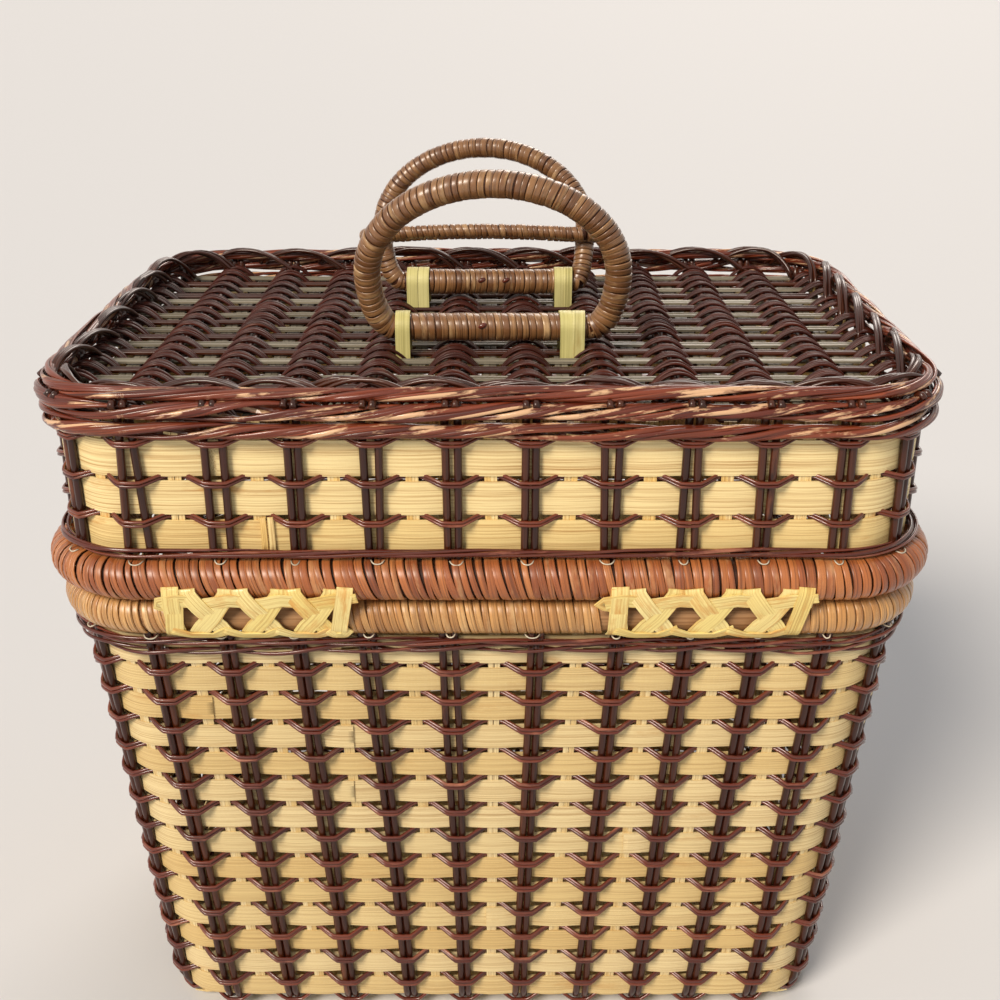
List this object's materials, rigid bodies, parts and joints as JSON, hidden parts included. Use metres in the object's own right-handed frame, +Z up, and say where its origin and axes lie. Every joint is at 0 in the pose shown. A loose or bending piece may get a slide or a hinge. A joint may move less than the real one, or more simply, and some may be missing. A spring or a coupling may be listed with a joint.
{
  "type": "picnic basket",
  "caption": "Rectangular lidded picnic basket of woven bamboo strip and dark cane, with two folding wrapped handles, laced hinges and a peg fastening.",
  "frame": {"origin": "on the floor, under the middle of the basket's plan, at the underside of the base", "axes": "+Z up, +X to the right along the long side when the hinged side is seen from in front, +Y from the hinged side to the side with the peg fastening"},
  "size_m": [0.4076, 0.3022, 0.4325],
  "materials": {
    "bamboo_strip": "satin, split bamboo with long grain",
    "dark_stake": "satin lacquered round cane",
    "dark_weaver": "satin split cane, stained dark",
    "border_cane": "satin twined cane, worn on the high spots",
    "bare_wood": "matt bare wood",
    "wrapping_cane": "glossy wound flat cane",
    "yellow_cane": "satin flat cane",
    "tie_cane": "satin flat cane",
    "handle_rattan": "glossy wound rattan"
  },
  "bodies": {
    "base": {"base_floor": "bamboo_strip", "base_wall": "bamboo_strip", "base_stakes": "dark_stake", "base_twining": "dark_weaver", "base_hoop_core": "bare_wood", "base_hoop_wrap_front": "wrapping_cane", "base_hoop_wrap_round": "wrapping_cane", "hinge_lacing_left_lower": "yellow_cane", "hinge_lacing_right_lower": "yellow_cane", "closure_staple": "handle_rattan"},
    "lid": {"lid_wall": "bamboo_strip", "lid_stakes": "dark_stake", "lid_twining": "dark_weaver", "lid_hoop_core": "bare_wood", "lid_hoop_wrap_front": "wrapping_cane", "lid_hoop_wrap_right": "wrapping_cane", "lid_hoop_wrap_left": "wrapping_cane", "lid_border_lower": "border_cane", "lid_border_middle": "border_cane", "lid_border_upper": "border_cane", "lid_panel": "border_cane", "lid_stake_pair_1": "dark_stake", "lid_stake_pair_2": "dark_stake", "lid_stake_pair_3": "dark_stake", "lid_stake_pair_4": "dark_stake", "lid_stake_pair_5": "dark_stake", "lid_stake_pair_6": "dark_stake", "lid_stake_pair_7": "dark_stake", "lid_stake_pair_8": "dark_stake", "lid_stake_pair_9": "dark_stake", "lid_stake_pair_10": "dark_stake", "hinge_lacing_left_upper": "yellow_cane", "hinge_lacing_right_upper": "yellow_cane", "front_tie_left": "tie_cane", "front_tie_right": "tie_cane", "rear_tie_left": "tie_cane", "rear_tie_right": "tie_cane", "closure_tie": "tie_cane"},
    "front_handle": {"front_handle": "handle_rattan"},
    "rear_handle": {"rear_handle": "handle_rattan"},
    "keeper_ring": {"keeper_ring": "handle_rattan"},
    "closure_loop": {"closure_loop": "handle_rattan"},
    "closure_peg": {"closure_peg": "bare_wood"}
  },
  "joints": [
    {"name": "lid_hinge", "type": "hinge", "parent": "base", "child": "lid", "pos_m": [0, -0.1413, 0.258], "axis": [1, 0, 0], "range_deg": [0, 120]},
    {"name": "front_handle_fold", "type": "hinge", "parent": "lid", "child": "front_handle", "pos_m": [0.0015, -0.0354, 0.3551], "axis": [1, 0, 0], "range_deg": [-43, 65]},
    {"name": "rear_handle_fold", "type": "hinge", "parent": "lid", "child": "rear_handle", "pos_m": [-0.004, 0.0557, 0.3551], "axis": [1, 0, 0], "range_deg": [-57, 37]},
    {"name": "keeper_ring_slide", "type": "slide", "parent": "rear_handle", "child": "keeper_ring", "axis": [0, 0.2588, 0.9659], "range_m": [0, 0.062]},
    {"name": "closure_loop_swing", "type": "hinge", "parent": "lid", "child": "closure_loop", "pos_m": [0, 0.1445, 0.26795], "axis": [1, 0, 0], "range_deg": [0, 120]},
    {"name": "closure_peg_slide", "type": "slide", "parent": "base", "child": "closure_peg", "axis": [1, 0, 0], "range_m": [0, 0.06]}
  ]
}
